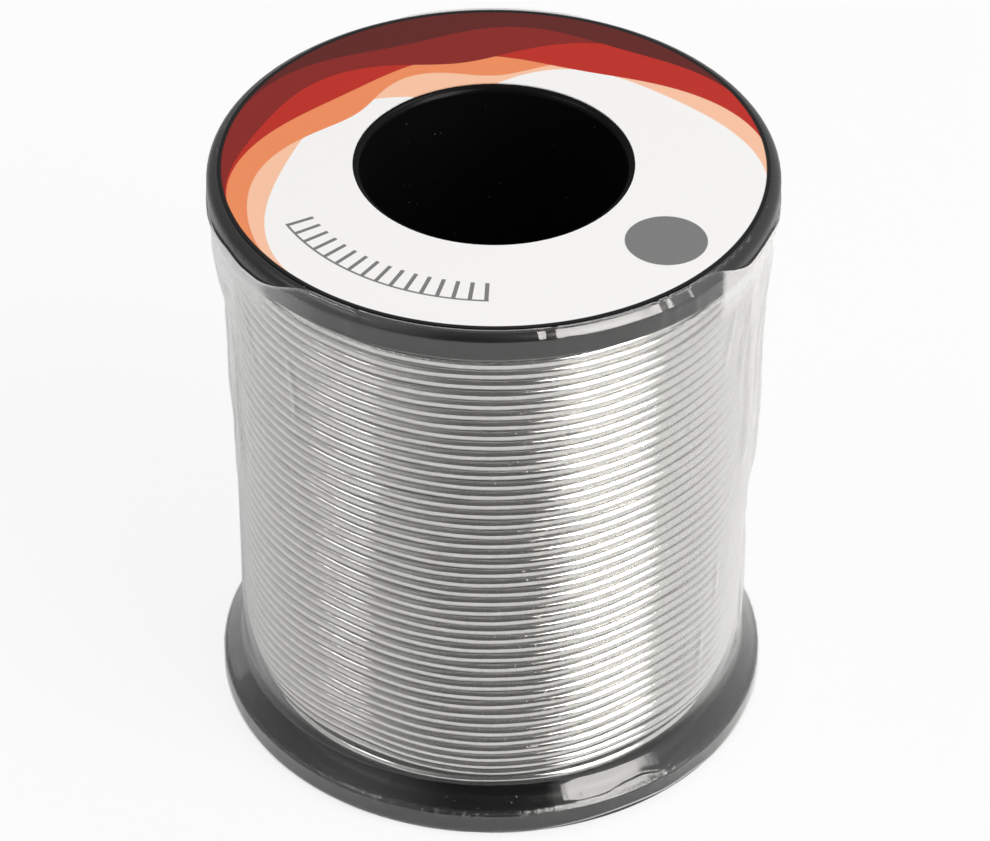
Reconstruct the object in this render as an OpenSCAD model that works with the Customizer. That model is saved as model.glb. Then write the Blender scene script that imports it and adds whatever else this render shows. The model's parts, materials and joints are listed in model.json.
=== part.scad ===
// Solder wire spool: a one-piece moulded reel, its winding of solder wire,
// a round top label and a shrunk film sleeve.
// Millimetres. Origin at the centre of the underside, +Z up the reel's axis.

/* [Reel] */
// Diameter of both flanges
flange_d = 46.6; // [42:0.1:60]
// Height from the lower flange's underside to the upper flange's face
reel_h = 52.7; // [36:0.1:90]
// Thickness of each flange
flange_t = 2.45; // [1.6:0.05:4]
// Radius of the rounded rim on each flange's outer face
rim_round = 0.9; // [0.3:0.05:1.3]
// Radius of the eased edge on each flange's inner face
edge_round = 0.25; // [0.1:0.05:0.3]
// Diameter of the bore that goes on a spindle
bore_d = 21.6; // [12:0.1:23]
// Radius of the rounded mouth at both ends of the bore
mouth_round = 0.6; // [0.2:0.1:1]
// Thickness of the hub's wall
hub_wall = 1.5; // [1:0.1:3]

/* [Starting hole] */
// Diameter of the hole that takes the wire's first end
start_hole_d = 3.8; // [2:0.1:4.5]
// Depth of its centre below the upper flange's face
start_hole_drop = 3.5; // [3.5:0.1:8]
// Direction of the hole, counted from +X towards +Y
start_hole_angle = 36; // [0:1:359]
// Width of the bevel round its mouth in the bore
start_hole_bevel = 0.3; // [0:0.05:0.5]

/* [Winding] */
// Diameter of the solder wire
wire_d = 1; // [0.8:0.05:1.4]
// How far the flanges stand out past the full winding
rim_stand = 1.9; // [0.8:0.1:4]
// Loops drawn in the outer layer
drawn_loops = 24; // [4:1:24]
// How far the winding draws in where it meets the lower flange
foot_inset = 1.6; // [0:0.1:3]
// Height above the lower flange over which it draws in
foot_h = 6; // [3:0.5:12]

/* [Label] */
// Width of the flat face left bare between the label and the rounded rim
label_rim_margin = 0; // [0:0.05:2]
// Width of the flat face left bare between the bore's mouth and the label
label_hole_margin = 0.05; // [0:0.05:2]
// Thickness of the label
label_t = 0.1; // [0.05:0.05:0.4]

/* [Film sleeve] */
// Thickness of the film
film_t = 0.12; // [0.05:0.01:0.3]
// Distance below the upper flange over which the film slopes in to the wire
film_shoulder_h = 14; // [6:1:20]
// Height above the lower flange at which the film leaves the winding
film_foot_h = 3.5; // [1:0.1:6]
// How far round the upper rim the film is drawn, in degrees
film_top_wrap = 60; // [10:5:75]
// How far round the lower rim the film is drawn, in degrees
film_low_wrap = 35; // [5:5:40]

/* [Clearances] */
// Gap between the hub and the inner turns
hub_gap = 0.1; // [0.05:0.05:0.4]
// Gap between the winding and each flange
flange_gap = 0.1; // [0.05:0.05:0.4]
// Gap between the outer layer and the turns under it
layer_gap = 0.1; // [0.05:0.05:0.4]
// Gap between the film and what it wraps
film_gap = 0.1; // [0.05:0.05:0.4]

/* [Hidden] */
$fn = 96;

flange_r = flange_d / 2;
bore_r = bore_d / 2;
hub_r = bore_r + hub_wall;
mouth_r = bore_r + mouth_round;
lower_face = flange_t;                 // upper side of the lower flange
upper_face = reel_h - flange_t;        // underside of the upper flange
hole_overrun = 0.4;                    // the hole's cut runs this far past the hub

// Outer layer: one helix from the lower flange to the upper one.
ring_sides = 6;
rings_per_loop = 24;
wire_r = wire_d / 2;
winding_r = flange_r - rim_stand;
loop_r = winding_r - wire_r;           // centre line of the wire on the full winding
helix_low = lower_face + flange_gap + wire_r;
helix_high = upper_face - flange_gap - wire_r;
loop_pitch = (helix_high - helix_low) / drawn_loops;
last_ring = drawn_loops * rings_per_loop;

// How far the winding is drawn in at height z.
function foot_draw(z) =
    z > lower_face + foot_h ? 0 : foot_inset * pow(1 - (z - lower_face) / foot_h, 2);

// Point i of the helix, ring by ring.
function helix_point(i) =
    let (z = helix_low + loop_pitch * i / rings_per_loop,
         r = loop_r - foot_draw(z),
         a = 360 * i / rings_per_loop)
    [r * cos(a), r * sin(a), z];

function unit(v) = v / norm(v);

// Direction in which the helix runs at its point i.
function helix_run(i) =
    let (a = 360 * i / rings_per_loop,
         r = norm([helix_point(i)[0], helix_point(i)[1]]))
    unit([-2 * PI * r * sin(a), 2 * PI * r * cos(a), loop_pitch]);
first_run = helix_run(0);
last_run = helix_run(last_ring);

// The wire's centre line: each end runs straight on for one wire diameter.
wire_line = concat(
    [helix_point(0) - wire_d * first_run],
    [for (i = [0 : last_ring]) helix_point(i)],
    [helix_point(last_ring) + wire_d * last_run]);
line_end = len(wire_line) - 1;

// Direction of the wire at point i of its line.
function line_run(i) =
    i <= 1 ? first_run :
    i >= line_end - 1 ? last_run :
    unit(wire_line[i + 1] - wire_line[i - 1]);

// One ring of the tube, square to the wire, with a corner facing outwards.
function tube_ring(i) =
    let (run = line_run(i),
         out = unit([wire_line[i][0], wire_line[i][1], 0]),
         side = unit(out - (out * run) * run),
         up = cross(run, side))
    [for (k = [0 : ring_sides - 1])
        let (a = 360 * k / ring_sides)
        wire_line[i] + wire_r * (cos(a) * side + sin(a) * up)];

tube_rings = [for (i = [0 : line_end]) tube_ring(i)];

// Least distance between the surface points of rings one loop apart.
function ring_distance(a, b) = min([for (p = tube_rings[a], q = tube_rings[b]) norm(p - q)]);
least_gap = min([for (i = [0 : line_end - rings_per_loop + 1], step = [-1 : 1])
    let (j = min(line_end, i + rings_per_loop + step))
    ring_distance(i, j)]);
echo(least_gap_between_loops_mm = least_gap);

// The core keeps clear of the tube's flats, which cut inside the true circle.
flat_depth = 1 - cos(180 / rings_per_loop);
core_steps = 8;
function core_r(z) =
    (loop_r - foot_draw(z)) * (1 - flat_depth) - wire_r - layer_gap;

// Film sleeve: its inner side, from under the lower rim, over the lower flange,
// up the winding and round the upper rim.
film_wall_r = winding_r + film_gap;
film_floor = lower_face + film_gap;
foot_w = 0.9 * (flange_r - film_wall_r);
turn_steps = 8;
slope_steps = 8;

// Points on an arc about c, in the r-z plane; its radii are rr along r and rz along z.
function arc_points(c, rr, rz, from, to, steps) =
    [for (i = [0 : steps])
        let (a = from + (to - from) * i / steps)
        c + [rr * cos(a), rz * sin(a)]];
rim_turn = rim_round + film_gap;
film_rim_r = flange_r + film_gap;

film_line = concat(
    arc_points([flange_r - rim_round, rim_round], rim_turn, rim_turn,
        -film_low_wrap, 0, turn_steps),
    arc_points([flange_r - edge_round, lower_face - edge_round],
        edge_round + film_gap, edge_round + film_gap, 0, 90, turn_steps),
    arc_points([film_wall_r + foot_w, film_floor + film_foot_h], foot_w, film_foot_h,
        260, 180, turn_steps),
    [for (i = [0 : slope_steps])
        let (s = i / slope_steps)
        [film_wall_r + (film_rim_r - film_wall_r) * s * s,
         upper_face - film_shoulder_h * (1 - s)]],
    arc_points([flange_r - rim_round, reel_h - rim_round], rim_turn, rim_turn,
        0, film_top_wrap, turn_steps));

// The same line moved outwards by the film's thickness.
function outward(i) =
    let (a = film_line[max(i - 1, 0)],
         b = film_line[min(i + 1, len(film_line) - 1)],
         run = unit(b - a))
    film_line[i] + film_t * [run[1], -run[0]];
film_outside = [for (i = [len(film_line) - 1 : -1 : 0]) outward(i)];

// What rounding the corner at point "at" takes off; "inwards" points into the material.
module corner_cut(at, r, inwards) {
    difference() {
        translate(at) square(2 * r, center = true);
        translate(at + r * inwards) circle(r);
    }
}

// Section of one flange, its outer face on y = 0.
module flange_section() {
    difference() {
        translate([bore_r, 0]) square([flange_r - bore_r, flange_t]);
        corner_cut([flange_r, 0], rim_round, [-1, 1]);
        corner_cut([flange_r, flange_t], edge_round, [-1, -1]);
        corner_cut([bore_r, 0], mouth_round, [1, 1]);
    }
}

// Section of the reel: two flanges and the hub's wall between them.
module reel_section() {
    flange_section();
    translate([0, reel_h]) mirror([0, 1]) flange_section();
    translate([bore_r, flange_t]) square([hub_wall, reel_h - 2 * flange_t]);
}

// Radial hole through the hub, bevelled on the bore's side.
module starting_hole() {
    hole_r = start_hole_d / 2;
    cut_from = bore_r - hole_r;
    rotate([0, 0, start_hole_angle]) translate([0, 0, reel_h - start_hole_drop])
        rotate([0, 90, 0]) {
            translate([0, 0, cut_from]) cylinder(h = hub_r + hole_overrun - cut_from, r = hole_r);
            translate([0, 0, bore_r - start_hole_bevel])
                cylinder(h = 2 * start_hole_bevel, r1 = hole_r + start_hole_bevel,
                    r2 = hole_r - start_hole_bevel);
        }
}

module spool() {
    color("#17171a") difference() {
        rotate_extrude() reel_section();
        starting_hole();
    }
}

// The turns under the outer layer, as one plain ring that draws in at its foot.
module inner_turns() {
    low = lower_face + flange_gap;
    high = upper_face - flange_gap;
    foot_top = lower_face + foot_h;
    color("#8f9092") rotate_extrude() polygon(concat(
        [[hub_r + hub_gap, low]],
        [for (i = [0 : core_steps])
            let (z = low + (foot_top - low) * i / core_steps)
            [core_r(z), z]],
        [[core_r(high), high], [hub_r + hub_gap, high]]));
}

// The outer layer: one unbroken six-sided tube wound on the turns below.
module outer_turns() {
    color("#c9c9c8") polyhedron(
        points = [for (ring = tube_rings) each ring],
        faces = concat(
            [for (k = [1 : ring_sides - 2]) [0, k, k + 1]],
            [for (i = [0 : line_end - 1], k = [0 : ring_sides - 1], half = [0, 1])
                let (a = i * ring_sides + k,
                     b = i * ring_sides + (k + 1) % ring_sides,
                     c = a + ring_sides,
                     d = b + ring_sides)
                half == 0 ? [a, c, b] : [b, c, d]],
            [for (k = [1 : ring_sides - 2])
                let (s = line_end * ring_sides)
                [s, s + k + 1, s + k]]));
}

module top_label() {
    color("white") translate([0, 0, reel_h]) difference() {
        cylinder(h = label_t, r = flange_r - rim_round - label_rim_margin);
        translate([0, 0, -label_t]) cylinder(h = 3 * label_t, r = mouth_r + label_hole_margin);
    }
}

module film_sleeve() {
    color([0.85, 0.88, 0.9, 0.3]) rotate_extrude() polygon(concat(film_line, film_outside));
}

spool();
inner_turns();
outer_turns();
top_label();
film_sleeve();
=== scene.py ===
# %% [markdown]
# # A reel of solder wire
# The object is a small bench reel: a black moulded spool, several layers of soft solder
# wire wound on it, a round printed label on top and a clear film shrunk over the wire.
# The construction comes as a fixed frame of solids. This script loads it, keeps the solids
# whose shape is right, and makes what a solid can't show: every turn of the wire, the
# film with its creases, and the finish of each surface.

# %% Load the frame
import json
import math
import bpy
import numpy as np
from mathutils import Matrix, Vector, noise


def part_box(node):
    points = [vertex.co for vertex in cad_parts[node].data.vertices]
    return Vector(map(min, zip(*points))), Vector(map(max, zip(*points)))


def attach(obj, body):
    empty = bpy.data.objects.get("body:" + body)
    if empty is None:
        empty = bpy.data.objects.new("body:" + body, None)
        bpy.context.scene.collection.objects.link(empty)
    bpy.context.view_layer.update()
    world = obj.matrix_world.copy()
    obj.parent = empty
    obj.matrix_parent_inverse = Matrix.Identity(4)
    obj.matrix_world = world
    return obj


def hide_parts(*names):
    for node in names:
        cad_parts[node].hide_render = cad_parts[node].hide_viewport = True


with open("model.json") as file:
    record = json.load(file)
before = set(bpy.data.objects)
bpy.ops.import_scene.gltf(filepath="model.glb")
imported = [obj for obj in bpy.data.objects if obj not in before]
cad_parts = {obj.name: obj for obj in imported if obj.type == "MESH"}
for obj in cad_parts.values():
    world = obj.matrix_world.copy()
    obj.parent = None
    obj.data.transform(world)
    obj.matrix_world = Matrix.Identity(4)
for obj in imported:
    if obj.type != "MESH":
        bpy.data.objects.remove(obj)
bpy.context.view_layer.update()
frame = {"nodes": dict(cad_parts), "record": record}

# %% [markdown]
# ## Sizes
# A maker measures the parts on the bench before shaping anything. The boxes of the solids
# give most sizes; the few that no box gives are named here, in metres like all the rest.

# %% Sizes
MM = 0.001
flange_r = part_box("spool")[1].x
reel_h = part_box("spool")[1].z
winding_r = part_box("outer_turns")[1].y
label_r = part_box("top_label")[1].x
bore_r = frame["record"]["mounts"][0]["dims"]["r_mm"] * MM
hub_wall = 1.5 * MM
hub_r = bore_r + hub_wall
flange_t = 2.45 * MM
rim_round = 0.9 * MM
wire_d = 1.0 * MM
lower_face = flange_t
upper_face = reel_h - flange_t
print(f"flange radius {flange_r / MM:.2f}, reel {reel_h / MM:.2f}, winding {winding_r / MM:.2f} mm")

# %% [markdown]
# ## Camera
# The reel is seen from a good step away with a long lens, from above the front, so the
# label reads as an even oval and the sides hardly converge. A long lens needs no shift:
# the camera is simply turned down to the reel, with a trace of roll.

# %% Camera
FRAME_W = 990
FOCAL_PX = 4657.4
SENSOR = 36.0
PITCH_DOWN = math.radians(38.137)
ROLL = math.radians(0.302)
camera_data = bpy.data.cameras.new("bench_camera")
camera_data.sensor_width = SENSOR
camera_data.lens = FOCAL_PX / FRAME_W * SENSOR
camera = bpy.data.objects.new("bench_camera", camera_data)
bpy.context.scene.collection.objects.link(camera)
STANDPOINT_IN_RADII = Vector((0.0087, -13.278, 11.550))
camera.location = STANDPOINT_IN_RADII * flange_r
camera.rotation_mode = "ZYX"
camera.rotation_euler = (math.pi / 2 - PITCH_DOWN, 0, ROLL)
camera_data.clip_start = 0.01
camera_data.clip_end = 20
bpy.context.scene.camera = camera
print(f"lens {camera_data.lens:.1f} mm at {camera.location.length:.3f} m")

# %% [markdown]
# ## Writing finishes as sums
# A finish is a sum of patterns, so it reads best as one. This small class wraps a
# node's socket: adding or multiplying two of them adds the Math node for it.

# %% Shader maths
class Term:
    """One output of a material's nodes, or a number, that can be used in sums."""

    def __init__(self, finish, socket):
        self.finish = finish
        self.socket = socket

    def math(self, operation, *others, clamp=False):
        return self.finish.node("ShaderNodeMath", {"operation": operation, "use_clamp": clamp},
                                {i: v for i, v in enumerate((self, *others))})

    def __add__(self, other):
        return self.math("ADD", other)

    def __sub__(self, other):
        return self.math("SUBTRACT", other)

    def __rsub__(self, other):
        return Term(self.finish, other).math("SUBTRACT", self)

    def __mul__(self, other):
        return self.math("MULTIPLY", other)

    def __truediv__(self, other):
        return self.math("DIVIDE", other)

    __radd__ = __add__
    __rmul__ = __mul__

    def clamped(self):
        return self.math("ADD", 0.0, clamp=True)

    def step(self, low, high):
        """0 below low, 1 above high, smooth between."""
        return self.finish.node("ShaderNodeMapRange", {"interpolation_type": "SMOOTHSTEP"},
                                {"Value": self, "From Min": low, "From Max": high})

    def band(self, low, high, soft):
        """1 between low and high, with soft edges of that width."""
        return self.step(low - soft, low + soft) * (1 - self.step(high - soft, high + soft))


class Finish:
    """A material, or the world's light, under construction."""

    def __init__(self, name, world=False):
        kinds = bpy.data.worlds if world else bpy.data.materials
        self.owner = kinds.new(name)
        self.owner.use_nodes = True
        self.tree = self.owner.node_tree
        self.tree.nodes.clear()
        end = "ShaderNodeOutputWorld" if world else "ShaderNodeOutputMaterial"
        self.output = self.tree.nodes.new(end)

    def node(self, kind, settings=None, inputs=None, output=0):
        """Any node: its type, its settings, the values or links of its sockets."""
        made = self.tree.nodes.new(kind)
        for key, value in (settings or {}).items():
            setattr(made, key, value)
        for key, value in (inputs or {}).items():
            self.feed(made.inputs[key], value)
        return Term(self, made.outputs[output])

    def feed(self, socket, value):
        if isinstance(value, Term):
            value = value.socket
        if isinstance(value, bpy.types.NodeSocket):
            self.tree.links.new(value, socket)
        else:
            socket.default_value = value

    def place(self):
        """Object coordinates in millimetres, as a vector."""
        coordinates = self.node("ShaderNodeTexCoord", output="Object")
        return self.node("ShaderNodeVectorMath", {"operation": "SCALE"},
                         {0: coordinates, "Scale": 1 / MM})

    def stretched(self, vector, by):
        """The vector with each of its parts multiplied."""
        return self.node("ShaderNodeVectorMath", {"operation": "MULTIPLY"}, {0: vector, 1: by})

    def parts(self, vector):
        split = self.node("ShaderNodeSeparateXYZ", inputs={0: vector}).socket.node
        return [Term(self, split.outputs[i]) for i in range(3)]

    def grain(self, vector, scale, detail=2.0, rough=0.5, distortion=0.0):
        return self.node("ShaderNodeTexNoise", inputs={
            "Vector": vector, "Scale": scale, "Detail": detail, "Roughness": rough,
            "Distortion": distortion})

    def cells(self, vector, scale):
        """Distance to the nearest of many scattered points."""
        return self.node("ShaderNodeTexVoronoi", inputs={"Vector": vector, "Scale": scale},
                         output="Distance")

    def blend(self, factor, below, above):
        """Colour below, with colour above laid on it by the factor."""
        return self.node("ShaderNodeMix", {"data_type": "RGBA"}, {0: factor, 6: below, 7: above}, 2)

    def bump(self, height, depth, strength=1.0):
        return self.node("ShaderNodeBump", inputs={
            "Height": height, "Distance": depth, "Strength": strength})

    def surface(self, **sockets):
        """A Principled surface; names use _ for the spaces of its sockets."""
        return self.node("ShaderNodeBsdfPrincipled", inputs={
            key.replace("_", " "): value for key, value in sockets.items()})

    def done(self, shader):
        self.feed(self.output.inputs["Surface"], shader)
        return self.owner


DEGREES = 180 / math.pi


def grey(level, warmth=0.0):
    return (level * (1 + warmth), level, level * (1 - warmth), 1.0)


def coat(piece, material):
    piece.data.materials.clear()
    piece.data.materials.append(material)

# %% [markdown]
# ## Floor, room and lamps
# The reel stands on a white table in a studio. Bright wire is nothing but what it mirrors,
# so the room has the look of a real one in reflections: dark behind the camera, pale walls,
# dim ceiling. Matt things get one even level of light from it. One large soft lamp stands
# to the right, a narrow strip hangs high at the left, and a small one high up behind. A
# lamp's own light is hidden from reflections: what the wire and the film mirror is a
# separate cloth front, whose edges fade as those of a real softbox do.

# %% Floor
def ray_kinds(finish, *names):
    """1 for rays of these kinds, such as what the eye sees directly, 0 for all others."""
    path = finish.node("ShaderNodeLightPath").socket.node
    return [Term(finish, path.outputs[name]) for name in names]


FLOOR_R = 3.0
bpy.ops.object.select_all(action="DESELECT")
bpy.ops.mesh.primitive_circle_add(vertices=64, radius=FLOOR_R, fill_type="NGON")
floor = bpy.context.object
floor.name = "white_table"
table = Finish("white_table_top")
seen, mirrored, through = ray_kinds(table, "Is Camera Ray", "Is Glossy Ray", "Is Transmission Ray")
SEEN_GLOW, MIRRORED_GLOW = 0.85, 0.1
table_shade = table.node("ShaderNodeBsdfDiffuse", inputs={"Color": grey(0.92)})
table_glow = table.node("ShaderNodeEmission", inputs={"Color": grey(1.0), "Strength": 1.0})
coat(floor, table.done(table.node("ShaderNodeMixShader", inputs={
    0: (seen + through) * SEEN_GLOW + mirrored * MIRRORED_GLOW,
    1: table_shade, 2: table_glow})))
print("table radius", FLOOR_R, "m")

# %% Room
ROOM_LIGHT = 0.45
WALL, EAST_GAIN = 0.70, 0.23
CEILING, DARK_END = 0.30, 0.07
room = Finish("white_room", world=True)
bpy.context.scene.world = room.owner
seen, mirrored, through = ray_kinds(room, "Is Camera Ray", "Is Glossy Ray", "Is Transmission Ray")
towards = room.node("ShaderNodeTexCoord", output="Generated")
east, north, up = room.parts(towards)
# Side is the direction from the front towards the right, height the one above the horizon.
side = east.math("ARCTAN2", 0 - north) * DEGREES
height = up.math("ARCSINE") * DEGREES
walls = east * EAST_GAIN + WALL
dark_end = side.step(-62, -12) * (1 - side.step(22, 32)) * (1 - height.step(58, 80))
ceiling = height.step(70, 84)
walls = walls + (CEILING - walls) * ceiling
walls = walls + (DARK_END - walls) * dark_end
matt = (1 - seen - through - mirrored).clamped()
room_level = (seen + through).clamped() + mirrored * walls + matt * ROOM_LIGHT
room.done(room.node("ShaderNodeBackground", inputs={"Color": grey(1.0), "Strength": room_level}))

# %% Lamps
CENTRE = Vector((0, 0, reel_h / 2))


def stand_at(azimuth, elevation, distance):
    """A point round the reel: azimuth from the front towards the right, in degrees."""
    a, e = math.radians(azimuth), math.radians(elevation)
    towards = Vector((math.sin(a) * math.cos(e), -math.cos(a) * math.cos(e), math.sin(e)))
    return CENTRE + distance * towards


def softbox(name, azimuth, elevation, distance, width, height, radiance, face,
            fade=0.05, colour=(1, 1, 1)):
    """A soft lamp that faces the reel, and the bright cloth front that shiny things mirror.

    The cloth fades out over the share fade of its width on the right, and a little elsewhere.
    """
    data = bpy.data.lights.new(name, "AREA")
    data.shape = "RECTANGLE"
    data.size = width
    data.size_y = height
    data.energy = radiance * math.pi * width * height
    data.color = colour
    made = bpy.data.objects.new(name, data)
    bpy.context.scene.collection.objects.link(made)
    made.location = stand_at(azimuth, elevation, distance)
    made.rotation_mode = "QUATERNION"
    made.rotation_quaternion = (CENTRE - made.location).to_track_quat("-Z", "Y")
    made.visible_camera = False
    made.visible_glossy = False

    bpy.ops.object.select_all(action="DESELECT")
    bpy.ops.mesh.primitive_plane_add(size=1)
    cloth = bpy.context.object
    cloth.name = name + "_front"
    cloth.scale = (width, height, 1)
    cloth.location = stand_at(azimuth, elevation, distance - 0.01)
    cloth.rotation_mode = "QUATERNION"
    cloth.rotation_quaternion = made.rotation_quaternion
    f = Finish(name + "_front")
    across, upright, _ = f.parts(f.node("ShaderNodeTexCoord", output="Object"))
    rim = across.step(-0.5, -0.45) * (1 - across.step(0.5 - fade, 0.5))
    rim = rim * upright.band(-0.47, 0.47, 0.025)
    glow = f.node("ShaderNodeEmission", inputs={"Color": (*colour, 1.0), "Strength": face})
    empty = f.node("ShaderNodeBsdfTransparent")
    coat(cloth, f.done(f.node("ShaderNodeMixShader", inputs={0: rim, 1: empty, 2: glow})))
    for ray in ("camera", "diffuse", "transmission", "volume_scatter", "shadow"):
        setattr(cloth, "visible_" + ray, False)


softbox("right_softbox", azimuth=51.5, elevation=34, distance=0.9, width=0.64, height=0.90,
        radiance=3.3, face=7.0, fade=0.35, colour=(1.0, 0.98, 0.95))
softbox("left_strip", azimuth=-82, elevation=51, distance=0.9, width=0.48, height=0.14,
        radiance=5.0, face=5.0)
softbox("right_back_softbox", azimuth=118, elevation=62, distance=0.9, width=0.4, height=0.3,
        radiance=2.0, face=4.0)

bpy.context.scene.view_settings.view_transform = "Standard"

# %% [markdown]
# ## The spool
# The real spool is one injection moulding in glossy black styrene, and the solid already
# has its flanges, rounded rims, bore and starting hole. It only needs its finish: black
# with a faint ripple from the mould, hairline scratches and a little dust. The rims are a
# little scuffed, and the mouth of the bore is matt.

# %% Black styrene
def black_styrene():
    f = Finish("black_styrene")
    at = f.place()
    x, y, z = f.parts(at)
    r = (x * x + y * y).math("SQRT")
    ripple = f.grain(at, 0.35, 2.0)
    pits = f.grain(at, 9.0, 3.0)
    scratch_line = f.grain(f.stretched(at, (0.25, 6.0, 0.25)), 1.4, 4.0, 0.6, 0.8)
    scratches = scratch_line.step(0.66, 0.70)
    scattered_dots = f.cells(at, 1.1)
    specks = (1 - scattered_dots.step(0.05, 0.09)) * f.grain(at, 0.4, 1.0).step(0.5, 0.62)
    colour = f.blend(specks * 0.5, grey(0.004), grey(0.20))
    scuffed_rim = r.step(22.4, 22.9)
    rough = ripple * 0.06 + pits * 0.06 + scratches * 0.10 + specks * 0.3
    rough = rough + scuffed_rim * 0.07 + 0.17
    height = ripple * 0.04 + pits * 0.004 + scratches * -0.002
    normal = f.bump(height, MM, 0.35)
    gloss = f.surface(Base_Color=colour, Roughness=rough, Normal=normal, IOR=1.55)
    matt = f.node("ShaderNodeBsdfDiffuse", inputs={"Color": grey(0.004)})
    mouth = (1 - r.step(11.5, 11.8)) * z.step(51.7, 52.1)
    return f.done(f.node("ShaderNodeMixShader", inputs={0: mouth * 0.85, 1: gloss, 2: matt}))


spool = frame["nodes"]["spool"]
coat(spool, black_styrene())
print("spool keeps its solid:", len(spool.data.polygons), "faces")

# %% [markdown]
# ## The solder wire
# Solder wire is drawn soft metal, bright when fresh. On the reel it lies turn against
# turn, 46 turns in a layer, and each layer climbs back over the one below. A curve with a
# round bevel is the natural way: its points follow the winding by a formula, and it becomes
# a mesh at the end. The last turns at the foot sit lower and looser than the rest.

# %% Path of the winding
TURNS = 46
foot_inset = 1.6 * MM
foot_h = 6.0 * MM
half_d = wire_d / 2


def hump(value, middle, width):
    """1 at the middle, falling softly to 0 on both sides, the short way round a circle."""
    away = (value - middle + 180) % 360 - 180
    return math.exp(-(away / width) ** 2)


def rise(value, start, end):
    """0 before start, 1 after end, smooth between."""
    share = min(1.0, max(0.0, (value - start) / (end - start)))
    return share * share * (3 - 2 * share)


def foot_draw(z):
    """How far the winding draws in at height z, near the lower flange."""
    share = max(0.0, 1 - (z - lower_face) / foot_h)
    return foot_inset * share ** 2


def foot_gaps(turns_up, facing):
    """How far the loose lowest turns leave room below the ones above, in two crescents."""
    first = 0.22 + 0.70 * hump(facing, -37, 21) + 0.30 * hump(facing, 38, 20)
    first *= rise(turns_up, 0.7, 1.7)
    second = 0.60 * hump(facing, 46, 17) * rise(turns_up, 3.0, 4.0)
    third = 0.25 * hump(facing, 30, 12) * rise(turns_up, 5.0, 6.0)
    return (first + second + third) * MM


def winding_point(turn, radius, layer, looseness):
    """A point of one layer, turn turns after its start at the back."""
    angle = 2 * math.pi * turn + math.pi / 2
    facing = math.degrees(angle) + 90
    upwards = layer % 2 == 0
    turns_up = turn if upwards else TURNS - turn
    room = foot_gaps(turns_up, facing)
    low, high = lower_face + half_d + room, upper_face - half_d
    z = low + (high - low) * turns_up / TURNS
    seed = 5.3 * layer
    sway = noise.noise(Vector((2.1 * math.cos(angle), 2.1 * math.sin(angle), z / MM * 0.16 + seed)))
    swell = noise.noise(Vector((4.0 * math.cos(angle) + seed, 4.0 * math.sin(angle), z / MM * 0.9)))
    z += looseness * sway * min(1.0, turns_up, TURNS - turns_up)
    r = radius - foot_draw(z - room) + 0.9 * looseness * swell
    return (r * math.cos(angle), r * math.sin(angle), z)

# %% Wind the layers
def wire_piece(name, points, corners, thickness):
    """A round wire along the points; each vertex knows how far along, outwards and up it is."""
    data = bpy.data.curves.new(name, "CURVE")
    data.dimensions = "3D"
    data.twist_mode = "Z_UP"
    data.bevel_depth = thickness / 2
    data.bevel_resolution = (corners - 4) // 2
    data.use_fill_caps = True
    spline = data.splines.new("POLY")
    spline.points.add(len(points) - 1)
    spline.points.foreach_set("co", np.array([(*p, 1.0) for p in points], np.float32).ravel())
    piece = bpy.data.objects.new(name, data)
    bpy.context.scene.collection.objects.link(piece)
    bpy.ops.object.select_all(action="DESELECT")
    piece.select_set(True)
    bpy.context.view_layer.objects.active = piece
    bpy.ops.object.convert(target="MESH")
    piece = bpy.context.object
    bpy.ops.object.shade_smooth()
    ring = len(piece.data.vertices) // len(points)
    path = np.array(points)
    length = np.concatenate([[0], np.cumsum(np.linalg.norm(np.diff(path, axis=0), axis=1))])
    skin = np.empty(len(piece.data.vertices) * 3)
    piece.data.vertices.foreach_get("co", skin)
    step = np.minimum(np.arange(len(skin) // 3) // ring, len(points) - 1)
    offset = (skin.reshape(-1, 3) - path[step]) / (thickness / 2)
    outwards = path[step, :2] / np.linalg.norm(path[step, :2], axis=1)[:, None]
    out = (offset[:, :2] * outwards).sum(axis=1)
    place = np.stack([length[step] / MM, out, offset[:, 2]], axis=1)
    mark = piece.data.attributes.new("along_wire", "FLOAT_VECTOR", "POINT")
    mark.data.foreach_set("vector", place.astype(np.float32).ravel())
    print(f"{name}: {length[-1]:.2f} m of wire, {ring} corners, {len(piece.data.polygons)} faces")
    return piece


OUTER_STEPS = 110
OUTER_LOOSENESS, INNER_LOOSENESS = 0.10 * MM, 0.05 * MM
outer_r = winding_r - half_d
layer_step = 0.95 * wire_d
layer_count = int((outer_r - hub_r - half_d) / layer_step)
outer_points = [winding_point(i / OUTER_STEPS, outer_r, layer_count, OUTER_LOOSENESS)
                for i in range(round(TURNS * OUTER_STEPS) + 1)]
outer_wire = wire_piece("outer_wire_layer", outer_points, 12, 0.985 * wire_d)

INNER_STEPS = 36
inner_points = []
for layer in range(layer_count):
    radius = outer_r - layer_step * (layer_count - layer)
    inner_points += [winding_point(i / INNER_STEPS, radius, layer, INNER_LOOSENESS)
                     for i in range(round(TURNS * INNER_STEPS) + 1)]
inner_wire = wire_piece("inner_wire_layers", inner_points, 6, 0.97 * wire_d)
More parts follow.
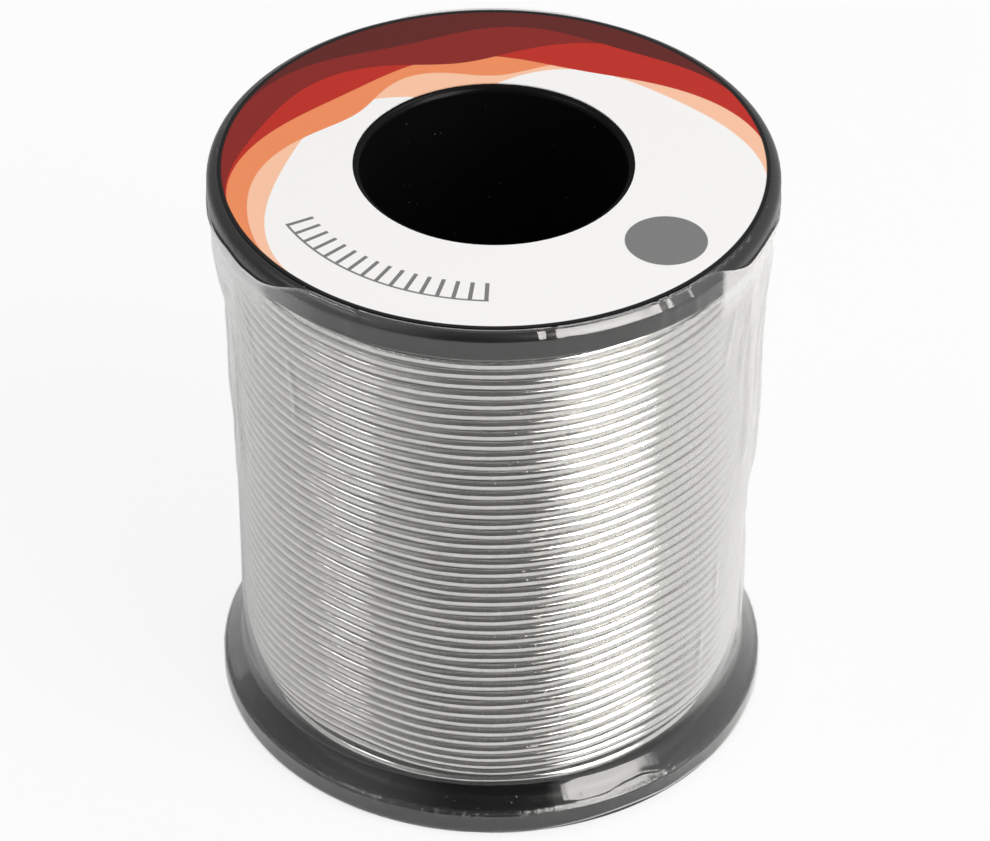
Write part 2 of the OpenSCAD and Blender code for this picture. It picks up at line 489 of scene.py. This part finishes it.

# %% [markdown]
# Drawn wire has a fine grain along its length, so its patterns follow the wire: they read
# the attribute that holds how far along, outwards and up each point is. Its colour is darkened
# towards the top and the underside of each wire, in the grooves between turns: painted shade.

# %% Bright solder
def bright_solder():
    f = Finish("bright_solder")
    at = f.place()
    along = f.node("ShaderNodeAttribute", {"attribute_name": "along_wire"}, output="Vector")
    drawn = f.grain(f.stretched(along, (0.12, 3.2, 3.2)), 1.6, 3.0, 0.6)
    smear = f.grain(at, 0.28, 3.0, 0.55)
    tarnish = f.grain(at, 1.3, 4.0, 0.65)
    nicks = f.grain(f.stretched(along, (0.9, 1.4, 1.4)), 2.4, 2.0).step(0.66, 0.74)
    bright, dull, shaded = (0.70, 0.695, 0.67, 1), (0.60, 0.595, 0.575, 1), (0.22, 0.215, 0.20, 1)
    colour = f.blend(tarnish.step(0.35, 0.75) * 0.6, bright, dull)
    _, outwards, upwards = f.parts(along)
    # Painted shade: the colour darkens in the grooves between the turns, at the top and the
    # underside of each wire.
    painted_groove_shade = (upwards.step(0.88, 0.98) + (0 - upwards).step(0.45, 0.8)).clamped()
    colour = f.blend(painted_groove_shade * 0.55, colour, shaded)
    rough = drawn * 0.06 + smear.step(0.35, 0.7) * 0.03 + nicks * 0.08 + 0.05
    height = drawn * 0.010 + smear * 0.02 - nicks * 0.012
    return f.done(f.surface(Base_Color=colour, Metallic=1.0, Roughness=rough,
                            Normal=f.bump(height, MM, 0.5)))


solder = bright_solder()
for piece, node in ((outer_wire, "outer_turns"), (inner_wire, "inner_turns")):
    coat(piece, solder)
    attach(piece, "root")
    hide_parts(node)

# %% [markdown]
# ## The film
# A sleeve of clear film is shrunk over the reel. It clings to the wire, bridges the corner
# at each flange and grips both rims, where it crinkles. Cloth simulation could shape it, but
# it is tight all round and its few creases have known places. So a half section is spun
# round the reel and then pulled about in code, and a Solidify modifier thickens it last.

# %% Film shape
FILM_STEPS = 540
film_t = 0.05 * MM
film_gap = 0.1 * MM
grip_gap = 0.05 * MM
film_wall = winding_r + film_gap + film_t
film_rim = flange_r + grip_gap
rim_turn = rim_round + grip_gap
shoulder_h = 14 * MM


def arc(centre, rr, rz, start, end, steps):
    """Points on an arc of a half section, as (radius, height)."""
    angles = [math.radians(start + (end - start) * i / steps) for i in range(steps + 1)]
    return [(centre[0] + rr * math.cos(a), centre[1] + rz * math.sin(a)) for a in angles]


def straight(start, end, shares):
    """Points on a straight line of a half section, at shares of its length."""
    return [(start[0] + (end[0] - start[0]) * share, start[1] + (end[1] - start[1]) * share)
            for share in shares]


# The foot is a cone from the lower rim up to the wall, the tent one over the upper rim.
foot_low = (flange_r - 0.2 * MM, lower_face + 0.12 * MM)
foot_high = (film_wall + 0.2 * MM, lower_face + 1.9 * MM)
foot_top = lower_face + 3.0 * MM
film_half = arc((flange_r - rim_round, rim_round), rim_turn, rim_turn, -35, 0, 6)
film_half += [(film_rim, z) for z in np.linspace(rim_round, lower_face - 0.25 * MM, 4)[1:]]
film_half += arc((flange_r - 0.25 * MM, lower_face - 0.25 * MM), 0.30 * MM, 0.33 * MM, 20, 60, 3)
film_half += straight(foot_low, foot_high, [*np.linspace(0, 0.48, 9), 0.6, 0.73, 0.86, 1.0])
film_half += arc((film_wall + 0.35 * MM, foot_top), 0.35 * MM, 0.9 * MM, 232, 180, 5)
shoulder_low = upper_face - shoulder_h
film_half += [(film_wall, z) for z in np.linspace(foot_top, shoulder_low, 26)[1:-1]]
SHOULDER_STEPS = 16
film_half += [(film_wall + (film_rim - film_wall) * (i / SHOULDER_STEPS) ** 2,
               shoulder_low + shoulder_h * i / SHOULDER_STEPS) for i in range(SHOULDER_STEPS + 1)]
film_half += [(film_rim, z) for z in np.linspace(upper_face, reel_h - 0.62 * MM, 6)[1:]]
tent_low = (film_rim - 0.03 * MM, reel_h - 0.50 * MM)
tent_high = (flange_r - 0.48 * MM, reel_h + 0.02 * MM)
film_half += straight(tent_low, tent_high, [i / 8 for i in range(9)])
film_half += [(flange_r - 0.7 * MM, reel_h + 0.065 * MM)]

film_mesh = bpy.data.meshes.new("film_half_section")
film_mesh.from_pydata([(r, 0, z) for r, z in film_half],
                      [(i, i + 1) for i in range(len(film_half) - 1)], [])
film = bpy.data.objects.new("shrunk_film", film_mesh)
bpy.context.scene.collection.objects.link(film)
bpy.ops.object.select_all(action="DESELECT")
film.select_set(True)
bpy.context.view_layer.objects.active = film
bpy.ops.object.mode_set(mode="EDIT")
bpy.ops.mesh.select_all(action="SELECT")
bpy.ops.mesh.spin(steps=FILM_STEPS, angle=2 * math.pi, center=(0, 0, 0), axis=(0, 0, 1))
bpy.ops.mesh.select_all(action="SELECT")
bpy.ops.mesh.remove_doubles(threshold=0.01 * MM)
bpy.ops.mesh.normals_make_consistent(inside=False)
bpy.ops.object.mode_set(mode="OBJECT")
bpy.ops.object.shade_smooth()
print("film:", len(film.data.vertices), "points before creasing")

# %% [markdown]
# Shrunk film is never even. Where a rim holds it, it pleats in short upright folds. At the
# left and right its top edge has slipped down to the middle of the upper flange's side, and
# there it stands off the wire. Each point of the spun sleeve knows how far along the half
# section it is, so it can be slid along it and then pushed out by the folds. The points at
# a cut edge are marked to be whitened, partly for the white of the cut and partly as a painted
# highlight: weaker at the top on the right, and on the lower edge only round the right front.

# %% Film edge and folds
section = np.array(film_half)
run = np.concatenate([[0], np.cumsum(np.linalg.norm(np.diff(section, axis=0), axis=1))])


def run_at(radius, height):
    """How far along the half section the point nearest to that place is."""
    return run[np.argmin(np.abs(section[:, 1] - height) + np.abs(section[:, 0] - radius))]


shoulder_from = run_at(film_wall, shoulder_low)
slipped_end = run_at(film_rim, upper_face) + 1.0 * MM
# Upright folds: direction from the front in degrees, lower and upper end, height, width.
FOLDS = ((66, 36, 47, 0.20, 1.1), (71, 27, 45, 0.26, 1.5), (77, 31, 47.5, 0.20, 1.0),
         (83, 22, 43, 0.26, 1.7), (90, 26, 46, 0.30, 2.0), (97, 30, 47, 0.22, 1.6),
         (58, 40, 48, 0.14, 0.8), (54, 9, 15, 0.14, 0.7), (60, 15, 21, 0.12, 0.6),
         (80, 5, 13, 0.22, 1.0), (86, 6, 18, 0.20, 1.2), (-73, 24, 43, 0.28, 0.9),
         (-83, 24, 42, 0.20, 1.4), (-62, 39, 47, 0.14, 0.8), (-92, 18, 40, 0.22, 1.8),
         (12.5, 24, 36, 0.09, 0.7), (-3.5, 15, 22, 0.06, 0.6), (31, 30, 38, 0.07, 0.6),
         (22, 5, 12, 0.10, 0.6), (-47, 36, 46, 0.10, 0.7),
         (12, 49.5, 56, 0.10, 0.9), (8.5, 49.5, 56, 0.06, 0.7), (34, 49.5, 56, 0.10, 0.9),
         (37.5, 49.5, 56, 0.08, 0.8), (43, 49.5, 56, 0.08, 0.7), (-28, 49.5, 56, 0.10, 1.2),
         (150, 20, 46, 0.22, 1.5), (-140, 12, 40, 0.20, 1.4), (178, 30, 47, 0.18, 1.2))
# Level creases: height, from and to direction, height of the fold, width.
CREASES = ((10.2, -42, 44, 0.09, 0.22), (24.5, 60, 100, 0.12, 0.4), (30.5, 66, 104, 0.12, 0.5),
           (19.0, 74, 108, 0.10, 0.4), (35.5, 70, 100, 0.10, 0.4), (45.5, -95, -58, 0.10, 0.35),
           (14.5, -14, 40, 0.06, 0.2), (41.5, 18, 52, 0.05, 0.2))

# The crease across the foot, from the front towards the right: directions and heights.
FOOT_CREASE = ((12, 18, 25, 29, 34.5, 40), (2.75, 2.90, 2.93, 3.22, 3.28, 2.75))


def between(value, start, full, fading, end):
    """Rises from 0 at start to 1 at full, and falls from fading to 0 at end."""
    return rise(value, start, full) * (1 - rise(value, fading, end))


def ruffle(cosine, sine, scale, seed):
    """Noise that goes round the reel without a seam."""
    return noise.noise(Vector((cosine * scale, sine * scale, seed)))


film_points = np.empty(len(film.data.vertices) * 3)
film.data.vertices.foreach_get("co", film_points)
film_points = film_points.reshape(-1, 3)
around = np.arctan2(film_points[:, 1], film_points[:, 0])
reach_r = np.hypot(film_points[:, 0], film_points[:, 1])
nearest = np.argmin((reach_r[:, None] - section[None, :, 0]) ** 2
                    + (film_points[:, 2][:, None] - section[None, :, 1]) ** 2, axis=1)
cut_edge_and_highlight = np.zeros(len(film_points))
for i, a in enumerate(around):
    facing = (math.degrees(a) + 90 + 180) % 360 - 180
    cosine, sine = math.cos(a), math.sin(a)
    slipped = between(facing, -165, -150, -55, -37) + between(facing, 46, 62, 150, 165)
    rag = ruffle(cosine, sine, 4, 2.0) + 0.5 * ruffle(cosine, sine, 13, 5.0)
    from_end = len(film_half) - 1 - nearest[i]
    # The cut edges are marked partly for the white of the cut and partly as a painted highlight:
    # weaker at the top on the right, and on the lower edge only round the right front.
    if from_end < 2:
        cut_edge_and_highlight[i] = slipped * (1.0, 0.3)[from_end] * (0.35 if facing > 0 else 1.0)
    elif nearest[i] < 2:
        cut_edge_and_highlight[i] = (1.0, 0.5)[nearest[i]] * hump(facing, 36, 22)
    low_end = slipped_end - 1.1 * MM * rise(abs(facing), 68, 84)
    top_end = run[-1] + (low_end - run[-1]) * slipped + 0.25 * MM * (rag - 0.4) * slipped
    along = run[nearest[i]]
    if along > shoulder_from:
        along = (shoulder_from + (along - shoulder_from) * (top_end - shoulder_from)
                 / (run[-1] - shoulder_from))
    else:
        low_rag = ruffle(cosine, sine, 5, 9.0)
        lift = 0.25 * (low_rag + 0.6) + 0.4 * hump(facing, 36, 24)
        along += lift * MM * (1 - rise(along, 0, 2 * MM))
    r, z = np.interp(along, run, section[:, 0]), np.interp(along, run, section[:, 1])
    level = z / MM
    # The bulges at the right and at the left, then the slack of the whole sleeve.
    push = 0.6 * hump(facing, 88, 27) * between(level, 16, 30, 44, 48)
    push += (hump(facing, -92, 24) * (0.35 * rise(level, 28, 33) + 0.35 * rise(level, 41, 43.5))
             * (1 - rise(level, 44.5, 50)))
    push += 0.05 * slipped * rise(level, 47, 51)
    push += (0.05 * (1 + ruffle(cosine, sine, 2.2, level * 0.1))
             * between(level, 5, 9, 46.5, 49.5))
    for middle, bottom, top, tall, wide in FOLDS:
        drift = 1.6 * noise.noise(Vector((middle, level * 0.16, 1.0)))
        push += (tall * hump(facing, middle + drift, wide)
                 * between(level, bottom, bottom + 3, top - 3, top))
    for height_mm, first, last, tall, wide in CREASES:
        wander = 0.5 * noise.noise(Vector((facing * 0.12, height_mm, 3.0)))
        push += (tall * math.exp(-((level - height_mm - wander) / wide) ** 2)
                 * between(facing, first, first + 8, last - 8, last)
                 * (0.6 + 0.8 * noise.noise(Vector((facing * 0.35, height_mm, 7.0)))))
    crease_z = np.interp(facing, *FOOT_CREASE)
    push += (0.07 * math.exp(-((level - crease_z) / 0.15) ** 2)
             * between(facing, 14, 20, 38, 42))
    bunch = rise(ruffle(cosine, sine, 5, 4.0), -0.25, 0.35)
    pleat = 1 - abs(ruffle(cosine, sine, 21, level * 0.20)) * 2.8
    pleat = bunch * pleat + 0.5 * ruffle(cosine, sine, 40, level * 0.6)
    grip_top = between(level, 49.5, 50.1, 50.5, 51.2) * (1 - slipped)
    grip_foot = rise(r / MM, 22.7, 23.1) * (1 - rise(level, 2.8, 3.1)) * rise(level, 1.7, 2.2)
    push += max(0.0, pleat) * max(0.09 * grip_top, 0.05 * grip_foot)
    ahead = along + 0.1 * MM
    slope_r = np.interp(ahead, run, section[:, 0]) - r
    slope_z = np.interp(ahead, run, section[:, 1]) - z
    size = math.hypot(slope_r, slope_z) or 1.0
    out_r, out_z = slope_z / size, -slope_r / size
    r, z = r + push * MM * out_r, z + push * MM * out_z
    film_points[i] = (r * cosine, r * sine, z)
film.data.vertices.foreach_set("co", film_points.ravel())
film.data.update()
mark = film.data.attributes.new("cut_edge_and_highlight", "FLOAT", "POINT")
mark.data.foreach_set("value", cut_edge_and_highlight.astype(np.float32))
print("film reaches", round(np.hypot(film_points[:, 0], film_points[:, 1]).max() / MM, 2), "mm out")

# %% Film thickness
solid = film.modifiers.new("film_thickness", "SOLIDIFY")
solid.thickness = film_t
solid.offset = 1.0
bpy.ops.object.modifier_apply(modifier="film_thickness")
print("film:", len(film.data.polygons), "faces with its thickness")

# %% [markdown]
# Clear film is seen by its shine. A Transparent shader lets the wire through, a Glossy one
# lies over it, a little at rest and much where the film is seen edge on, and a thin milky
# share shows where the film hangs loose or is cut. Milky dots scattered over it are painted
# glints, and the whitened cut edges are partly a painted highlight.

# %% Clear film
def clear_film():
    f = Finish("clear_film")
    at = f.place()
    x, y, z = f.parts(at)
    r = (x * x + y * y).math("SQRT")
    grip_top = z.band(upper_face / MM - 0.30, upper_face / MM + 0.12, 0.1)
    grip = grip_top + z.band(2.15, 2.65, 0.12) * r.step(22.75, 22.95)
    crinkle = f.grain(f.stretched(at, (1.0, 1.0, 0.5)), 1.1, 2.0, 0.5, 0.8)
    sparkle = f.grain(at, 2.6, 2.0, 0.6)
    dents = 1 - f.cells(at, 0.33).step(0.03, 0.16)
    dents = dents * f.grain(at, 2.5, 1.0)
    # The film bunches into a bead at the lower edge of the upper rim.
    bead = z.step(49.95, 50.2) * (1 - z.step(50.2, 50.45))
    bead = bead * f.grain(at, 1.3, 3.0, 0.7).step(0.40, 0.62)
    height = crinkle * 0.010 + sparkle * grip * 0.07 + dents * 0.05 + bead * 0.16
    normal = f.bump(height, MM, 0.7)
    clear = f.node("ShaderNodeBsdfTransparent", inputs={"Color": grey(0.985)})
    gloss = f.node("ShaderNodeBsdfGlossy", inputs={
        "Color": grey(1.0), "Roughness": 0.04, "Normal": normal})
    skin = f.node("ShaderNodeBsdfDiffuse", inputs={"Color": grey(0.9)})
    edge_on = f.node("ShaderNodeLayerWeight", inputs={"Blend": 0.5, "Normal": normal},
                     output="Facing")
    # It is stretched, and so shinier, over the foot, the upper rim and the bead.
    stretched = z.band(2.5, 4.5, 0.1) + z.step(52.15, 52.3) + bead * 2.0
    mirror = edge_on.math("POWER", 4.0) * 0.9 + stretched * 0.014 + 0.028
    sheet = f.node("ShaderNodeMixShader", inputs={0: mirror, 1: clear, 2: gloss})
    # It is milky where it bulges at the right and hangs under its slipped edge at both sides.
    loose = x.step(13.5, 19.5) * z.band(6.0, 47.0, 2.0)
    at_sides = (0 - x).step(17.5, 18.9) + (0 - x).step(13.0, 18.0) * 0.2 + x.step(17.9, 18.5)
    hanging = at_sides * z.step(46.0, 50.0)
    # Painted glints: small milky dots scattered over the film stand in for the glints of its
    # crinkles.
    scattered_dots = (1 - f.cells(at, 0.9).step(0.04, 0.08)) * f.grain(at, 0.15, 1.0).step(0.48, 0.58)
    # Painted highlight: the marked cut edges are whitened partly for the white of the cut, partly
    # as a highlight along them.
    cut_and_highlight = f.node("ShaderNodeAttribute", {"attribute_name": "cut_edge_and_highlight"}, output="Fac")
    milky = loose * 0.12 + hanging * 0.42 + scattered_dots * 0.22 + sparkle.step(0.5, 0.7) * grip * 0.06
    milky = milky + cut_and_highlight * 0.6 + 0.0015
    return f.done(f.node("ShaderNodeMixShader", inputs={0: milky, 1: sheet, 2: skin}))


coat(film, clear_film())
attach(film, "root")
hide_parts("film_sleeve")

# %% [markdown]
# ## The label
# A round of coated paper, printed and stuck on the upper flange. The solid is right as it
# is, and the print is a finish: distances from the axis and directions round it place
# every mark. The design is a plain one: ribbons in reds and oranges, a fine scale of
# strokes and a grey spot.

# %% Printed paper
def printed_paper():
    f = Finish("printed_paper")
    at = f.place()
    x, y, z = f.parts(at)
    cut_r = (x * x + y * y).math("SQRT")
    x, y = x - 0.13, y + 0.1
    r = (x * x + y * y).math("SQRT")
    turned = (0 - x).math("ARCTAN2", y) * DEGREES
    paper = grey(0.93, 0.004)
    outline = label_r / MM - 0.33
    outer = label_r / MM - 0.2
    edge = 0.04

    def ribbon(middle, reach, depth, waves, shift, sway):
        lobe = (1 - ((turned - middle) / reach).math("POWER", 2.0)).clamped().math("POWER", 1.6)
        ripple = (turned * (waves / DEGREES) + shift).math("SINE") * sway + depth
        return (r - (outer - lobe * ripple)).step(-edge, edge)

    colour = f.blend(ribbon(18, 118, 10.6, 4.0, 0.4, 1.6), paper, (0.96, 0.56, 0.38, 1))
    colour = f.blend(ribbon(26, 100, 9.4, 5.0, 2.1, 1.5), colour, (0.86, 0.27, 0.11, 1))
    colour = f.blend(ribbon(10, 96, 8.2, 3.0, 4.0, 1.8), colour, (0.50, 0.022, 0.012, 1))
    colour = f.blend(ribbon(20, 84, 6.0, 4.0, 1.0, 1.6), colour, (0.24, 0.014, 0.010, 1))
    colour = f.blend(ribbon(2, 70, 3.2, 5.0, 5.2, 1.0), colour, (0.11, 0.010, 0.008, 1))

    every = 4.0
    stroke_at = ((turned / every).math("FRACT") - 0.5).math("ABSOLUTE") * every
    stroke = (stroke_at * r * (1 / DEGREES)).math("LESS_THAN", 0.17)
    scale = stroke * r.band(16.4, 18.6, edge) * turned.band(117, 179, 0.1)
    rail = r.band(18.6, 18.8, edge) * turned.band(117.4, 178.6, 0.1)
    spot_from_axis, spot_angle, spot_size = 17.2, math.radians(-38), 3.3
    spot_x = spot_from_axis * math.cos(spot_angle)
    spot_y = spot_from_axis * math.sin(spot_angle)
    spot_r = ((x - spot_x) * (x - spot_x) + (y - spot_y) * (y - spot_y)).math("SQRT")
    spot = 1 - spot_r.step(spot_size - edge, spot_size + edge)
    ink = (scale + rail + spot).clamped()
    colour = f.blend(ink, colour, grey(0.2))
    colour = f.blend(cut_r.step(outline - edge, outline + edge), colour, grey(0.004))
    fibre = f.grain(at, 6.0, 4.0, 0.6)
    rough = fibre * 0.12 + 0.42
    return f.done(f.surface(Base_Color=colour, Roughness=rough, IOR=1.45, Specular_IOR_Level=0.2,
                            Normal=f.bump(fibre * 0.006, MM, 0.5)))


label = frame["nodes"]["top_label"]
coat(label, printed_paper())
print("label keeps its solid:", len(label.data.polygons), "faces")
